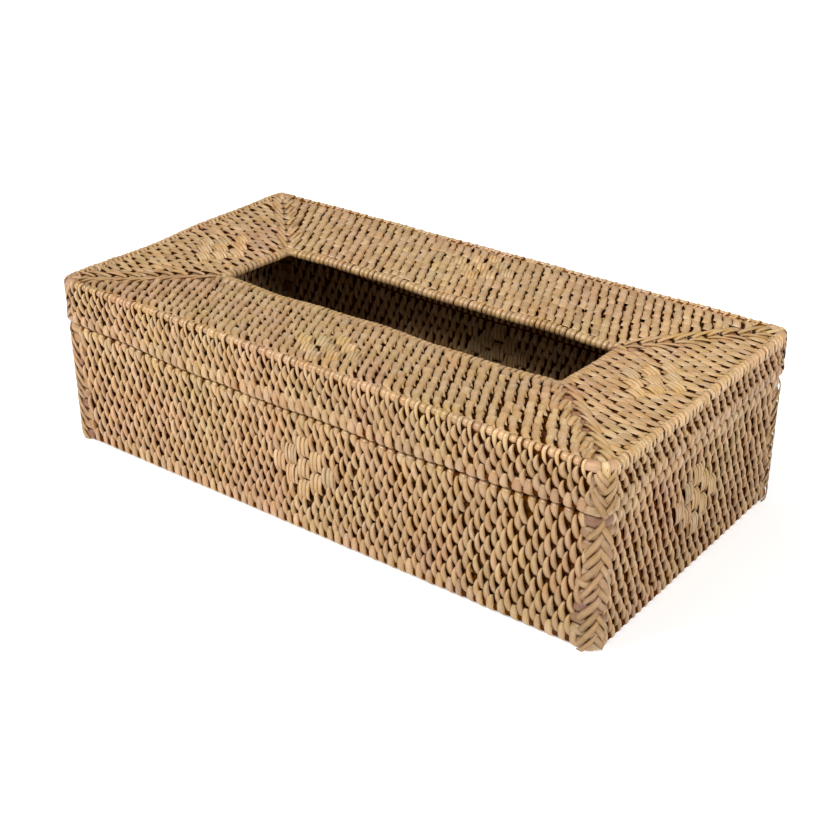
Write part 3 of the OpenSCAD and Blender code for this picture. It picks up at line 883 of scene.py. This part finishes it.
def lid_rim(k):
    """Windings that go round the lowest course, some of them orange."""
    rng = np.random.default_rng(300 + k)
    batch = Batch()
    half = run(k) / 2 - LID_V - ends["lid", k, 0]
    start = LID_B0 - COURSE_R * np.pi * 0.8
    row(batch, k, lid_loop, start, skirt_b(LID_RIM_Z + SKIRT_STEP), half, half, PITCH[k], 0.0, 0.6 * LEAN[k],
        SEAM_W, HANGING, rng, mix=SEAM_MIX)
    core(batch, k, LID_V + COURSE_R, LID_RIM_Z, COURSE_R - 0.7, half + 2, rng)
    batch.make("binding_lid_rim_" + SIDES[k], "lid_rim_" + SIDES[k], "lid", BINDING)


# Height where the strips of the skirt's inner face end under the top
INNER_TOP = 67.5


def lid_skirt(k):
    rng = np.random.default_rng(320 + k)
    batch = Batch()
    for i in range(1, SKIRT_ROWS + 1):
        z = lid_row_z(i)
        half = run(k) / 2 - LID_V - ends["lid", k, i]
        lean = LEAN[k] - 0.4 + rng.normal(0, 0.3)
        up = REACH_UP[k] if i < SKIRT_ROWS else SKIRT_TOP_REACH
        b0, b1 = skirt_b(z - REACH * SKIRT_STEP), skirt_b(z + up * SKIRT_STEP)
        row(batch, k, lid_loop, b0, b1, half, half, PITCH[k], 0.5 * (i % 2), lean, STRIP_WIDTH[k],
            SHAPES[k], rng)
        b0 = skirt_b(min(z + INNER_REACH * SKIRT_STEP, INNER_TOP), True)
        b1 = skirt_b(z - INNER_REACH * SKIRT_STEP, True)
        row(batch, k, lid_loop, b0, b1, half, half, PITCH[k], 0.5 * (i % 2) + 0.5, -lean, INNER_W,
            INNER, rng)
        core(batch, k, LID_V + COURSE_R, z - SKIRT_STEP / 2, CORE_R, half + 2, rng, CORE_RISE)
    batch.make("weave_lid_skirt_" + SIDES[k], "lid_skirt_" + SIDES[k], "lid", WRAPPED)


# The windings of the edge and the bars between them: their low ends in height, and how far in they reach
EDGE_WIDTH = (1.7, 1.9, 1.7, 1.9)
EDGE_PITCH = (PITCH[0], 2.6, PITCH[2], 2.6)
EDGE_LOW = (65.6, 67.0, 65.6, 67.0)
BAR_LOW = 71.3
EDGE_IN, BAR_IN = 2.8, 1.8


def lid_edge(k):
    """Glossy windings that come down over the edge, with smooth round bars between them."""
    rng = np.random.default_rng(340 + k)
    batch = Batch()
    half = run(k) / 2 - LID_V - arm(k) + 0.8
    b0, b1 = skirt_b(EDGE_LOW[k]), top_b(ring_v(0) + EDGE_IN)
    row(batch, k, lid_loop, b0, b1, half, half, EDGE_PITCH[k], 0, 0.25 * LEAN[k], EDGE_WIDTH[k], EDGE, rng,
        mix=GLOW_MIX)
    b0, b1 = skirt_b(BAR_LOW), top_b(ring_v(0) + BAR_IN)
    row(batch, k, lid_loop, b0, b1, half, half, EDGE_PITCH[k], 0.5, 0, EDGE_PITCH[k] - EDGE_WIDTH[k] + 0.8,
        BARREL, rng, mix=BARREL_MIX, lift=-0.3)
    # The edge's cane is coloured dark brown as painted shade in the gaps
    core(batch, k, EDGE_V, EDGE_Z, EDGE_R - 0.9, half + 3, rng, colour=EDGE_CORE_SHADE)
    core(batch, k, LID_V + COURSE_R, lid_row_z(SKIRT_ROWS) + SKIRT_STEP / 2, CORE_R, half + 3, rng,
         CORE_RISE)
    core(batch, k, ring_v(0.4), ring_z(0.4), CORE_R, half + 3, rng)
    batch.make("binding_lid_edge_" + SIDES[k], "lid_edge_" + SIDES[k], "lid", BINDING)


def top_half(k, v, margin):
    """Half the length of side k's panel at v, short of the mitre by a margin."""
    return run(k) / 2 - v - margin


# The panels of the top: how many courses a strip reaches outwards and inwards, and how it is laid
TOP_OUT = (0.7, 0.95, 0.85, 0.95)
TOP_IN = (0.62, 0.9, 0.75, 0.9)
TOP_LEAN = (3.2, 1.0, 3.2, 1.0)
TOP_WIDTH = (3.65, 2.6, 3.9, 2.6)
TOP_PITCH = (4.4, 4.7, 4.4, 4.7)
TOP_SIGN = (1, -1, 1, -1)
TOP_SHAPE = (PANEL, SLIM, PANEL, SLIM)
TOP_INNER_W = 2.4
TOP_CORE_W = 2.3
# Rings between the edge and the middle of each panel's motif
MOTIF_RINGS = (3, 4, 3, 5)


def lid_top(k):
    rng = np.random.default_rng(360 + k)
    batch = Batch()
    mid_row = MOTIF_RINGS[k] + 0.5
    step = ring_v(1) - ring_v(0)
    for i in range(1, TOP_ROWS):
        v = ring_v(i)
        v_out, v_in = v - TOP_OUT[k] * step, v + TOP_IN[k] * step
        margin = 2.6 + rng.uniform(0, 1.2)
        phase = 0.5 * (i % 2)
        lean = TOP_SIGN[k] * TOP_LEAN[k] + rng.normal(0, 0.2)
        skip = hidden_by_patch((i - mid_row) * step, step, 1.8)
        half_out, half_in = top_half(k, v_out, margin - 0.7), top_half(k, v_in, margin - 0.7 * abs(lean))
        row(batch, k, lid_loop, top_b(v_out), top_b(v_in), half_out, half_in, TOP_PITCH[k], phase, -lean,
            TOP_WIDTH[k], TOP_SHAPE[k], rng, skip)
        b0, b1 = top_b(v_in, True), top_b(max(v_out, ring_v(1)), True)
        half_in, half_out = top_half(k, v_in, margin), top_half(k, v_out, margin)
        row(batch, k, lid_loop, b0, b1, half_in, half_out, TOP_PITCH[k], phase, 0.6 * lean, TOP_INNER_W,
            INNER, rng, skip)
        half = top_half(k, v, margin)
        a = along_cane(-half - 1.5, half + 1.5, 20)
        path = at_side(k, a, np.full(len(a), v), np.full(len(a), ring_z(i)))
        sweep(batch, path, TOP_CORE_W, SHADE_DARK, rng, 10, 0.02, CORE_R, True)
    batch.make("weave_lid_top_" + SIDES[k], "lid_top_" + SIDES[k], "lid", WRAPPED)


SLOT_PITCH = 2.5
SLOT_WRAP_W = 2.4


def slot_rim(k):
    """Tight windings round the innermost ring."""
    rng = np.random.default_rng(380 + k)
    batch = Batch()
    half = top_half(k, SLOT_V, 2.5)
    step = ring_v(1) - ring_v(0)
    b0, b1 = top_b(SLOT_V - 0.7 * step), top_b(SLOT_V - 0.7 * step, True)
    row(batch, k, lid_loop, b0, b1, half + 2.5, half + 2.5, SLOT_PITCH, 0, 0.8, SLOT_WRAP_W, WRAP, rng,
        mix=SLOT_MIX)
    straight_cane(batch, k, SLOT_V, SLOT_Z, CORE_R + 0.3, -half - 2.2, half + 2.2, RUST, rng)
    batch.make("binding_slot_rim_" + SIDES[k], "slot_rim_" + SIDES[k], "lid", BINDING)


def lid_corner(k):
    rng = np.random.default_rng(400 + k)
    batch = Batch()
    bends(batch, k, "lid", SKIRT_ROWS + 1, LID_V + COURSE_R, lid_row_z, rng)
    bend_cane(batch, k, EDGE_V, EDGE_Z, EDGE_R - 0.15, arm(k) - 2, arm(k + 1) - 2, EDGE_BEND, rng)
    batch.make("cane_lid_corner_" + CORNERS[k], "lid_corner_" + CORNERS[k], "lid", BARE_CANE)


def lid_lacing(k):
    """Steep strips crossing at the corner, and one wide strip that comes down over the edge."""
    rng = np.random.default_rng(420 + k)
    batch = Batch()
    heights = LID_RIM_Z - COURSE_R + 0.9 + SKIRT_STEP * np.arange(4) + 0.4 * STRIP_W
    reaches = LID_ARMS if k % 2 == 0 else LID_ARMS[::-1]
    lacing(batch, k, LID_V, heights, -1, reaches, LID_SLOPES, EDGE_Z, rng)
    lay(batch, diagonal(k), [0.3], [skirt_b(64.5)], [-0.4], [top_b(9.0)], 3.0, LACE, [PALE], rng, 0.25, 0.02)
    batch.make("strips_lid_lacing_" + CORNERS[k], "lid_lacing_" + CORNERS[k], "lid", LACING)


MITRE_W = 2.3
MITRE_REACH = 2.9
MITRE_RISE = 1.9


def lid_mitre(k):
    """Bends of the rings, and cane under them along the mitre, coloured dark as painted shade."""
    rng = np.random.default_rng(440 + k)
    batch = Batch()
    for i in range(1, TOP_ROWS + 1):
        bend_cane(batch, k, ring_v(i), ring_z(i), MITRE_W, MITRE_REACH, MITRE_REACH,
                  BARE[rng.integers(5)], rng, MITRE_RISE)
    v = along_cane(ring_v(1), ring_v(TOP_ROWS), 12)
    under = at_side(k, run(k) / 2 - v, v, np.interp(v, [ring_v(0), SLOT_V], [FIRST_Z, SLOT_Z]) - 0.5)
    sweep(batch, under, 2.4, SHADE_DARK, rng, 10, 0.02, CORE_R, True)
    batch.make("cane_lid_mitre_" + CORNERS[k], "lid_mitre_" + CORNERS[k], "lid", BARE_CANE)


def lid_mitre_lacing(k):
    """Flat strips beside the mitre: steep on the first panel, and long and laid like a cord on the next.
    A panel has the angle between strip and mitre in degrees, the strip's length and its distance off it."""
    rng = np.random.default_rng(460 + k)
    batch = Batch()
    count = TOP_ROWS - 1
    for side, mirrored, angle, long, off in ((k, 1, 30, 9.5, 1.6), (k + 1, -1, 15, 14.0, 1.0)):
        v = ring_v(np.arange(1, TOP_ROWS) + 0.7) + rng.normal(0, 0.3, count)
        a = run(side) / 2 - v - off
        turn = math.radians(45 - angle)
        length = np.minimum(long * rng.normal(1, 0.1, count), (v - 4.4) / math.cos(turn))
        tail_p, tail_q = mirrored * (a + length * math.sin(turn)), top_b(v - length * math.cos(turn))
        lay(batch, on_loop(side % 4, lid_loop), tail_p, tail_q, mirrored * a, top_b(v),
            STRIP_W * rng.normal(0.95, 0.1, count), LACE, tones_for(rng, count, LACE_MIX), rng, 0.42, 0.06)
    batch.make("strips_lid_mitre_" + CORNERS[k], "lid_mitre_lacing_" + CORNERS[k], "lid",
               LACING)


def lid_motifs():
    rng = np.random.default_rng(480)
    batch = Batch()
    step = ring_v(1) - ring_v(0)
    for k in range(4):
        v = ring_v(MOTIF_RINGS[k] + 0.5)
        lean = -TOP_SIGN[k] * 2.2
        motif(batch, on_loop(k, lid_loop), top_b(v), step, 1, lean, rng, 0.5, 1.12)
        motif(batch, on_loop(k, lid_loop), top_b(v, True), step, -1, -lean, rng)
    batch.make("strands_lid_motifs", "lid_motifs", "lid", STRANDS)


base_floor()
base_motifs()
lid_motifs()
for k in range(4):
    for build in (base_wall, base_rim, base_corner, base_lacing, base_lip, lid_rim, lid_skirt, lid_edge,
                  lid_top, slot_rim, lid_corner, lid_lacing, lid_mitre, lid_mitre_lacing):
        build(k)


# Stage, light and camera, in metres; the camera was fitted to the photograph's outline
STAGE = 6.0
STAGE_DROP = 0.0001
AIM = (0, 0, 0.03)
WORLD_POWER = 0.42
IMAGE, FOCAL = 840, 1463.8
CAMERA_PLACE = (0.32937, -0.42755, 0.30713)
CAMERA_TURN = (62.061, -0.048, 37.259)


def pale_floor():
    mesh = bpy.data.meshes.new("floor")
    mesh.from_pydata([(-STAGE, -STAGE, 0), (STAGE, -STAGE, 0), (STAGE, STAGE, 0), (-STAGE, STAGE, 0)], [],
                     [(0, 1, 2, 3)])
    mat = bpy.data.materials.new("pale_floor")
    mat.use_nodes = True
    shader = mat.node_tree.nodes["Principled BSDF"]
    shader.inputs["Base Color"].default_value = (0.9, 0.9, 0.9, 1)
    shader.inputs["Roughness"].default_value = 0.8
    shader.inputs["Emission Color"].default_value = (1, 1, 1, 1)
    shader.inputs["Emission Strength"].default_value = 0.4
    mesh.materials.append(mat)
    made = bpy.data.objects.new("floor", mesh)
    bpy.context.scene.collection.objects.link(made)
    made.location.z = -STAGE_DROP


def softbox(name, place, size, power):
    """Round lamp aimed at the middle of the cover."""
    data = bpy.data.lights.new(name, "AREA")
    data.shape = "DISK"
    data.size = size
    data.energy = power
    made = bpy.data.objects.new(name, data)
    bpy.context.scene.collection.objects.link(made)
    made.location = place
    made.rotation_euler = look(np.array(AIM) - np.array(place))


def look(direction):
    """Euler angles that point an object's -Z along a direction."""
    x, y, z = direction / np.linalg.norm(direction)
    return (math.acos(-z), 0, math.atan2(-x, y))


def lights():
    world = bpy.data.worlds.new("studio")
    bpy.context.scene.world = world
    world.use_nodes = True
    world.node_tree.nodes["Background"].inputs["Color"].default_value = (1, 1, 1, 1)
    world.node_tree.nodes["Background"].inputs["Strength"].default_value = WORLD_POWER
    softbox("key", (-0.9, -1.4, 1.75), 0.8, 42.5)
    softbox("fill", (1.8, -0.5, 1.2), 1.0, 27)


def camera():
    data = bpy.data.cameras.new("camera")
    made = bpy.data.objects.new("camera", data)
    bpy.context.scene.collection.objects.link(made)
    data.sensor_width = 36
    data.lens = FOCAL / IMAGE * data.sensor_width
    made.location = CAMERA_PLACE
    made.rotation_euler = [math.radians(a) for a in CAMERA_TURN]
    data.clip_start = 0.01
    data.clip_end = 30
    bpy.context.scene.camera = made
    bpy.context.scene.view_settings.view_transform = "Standard"


pale_floor()
lights()
camera()
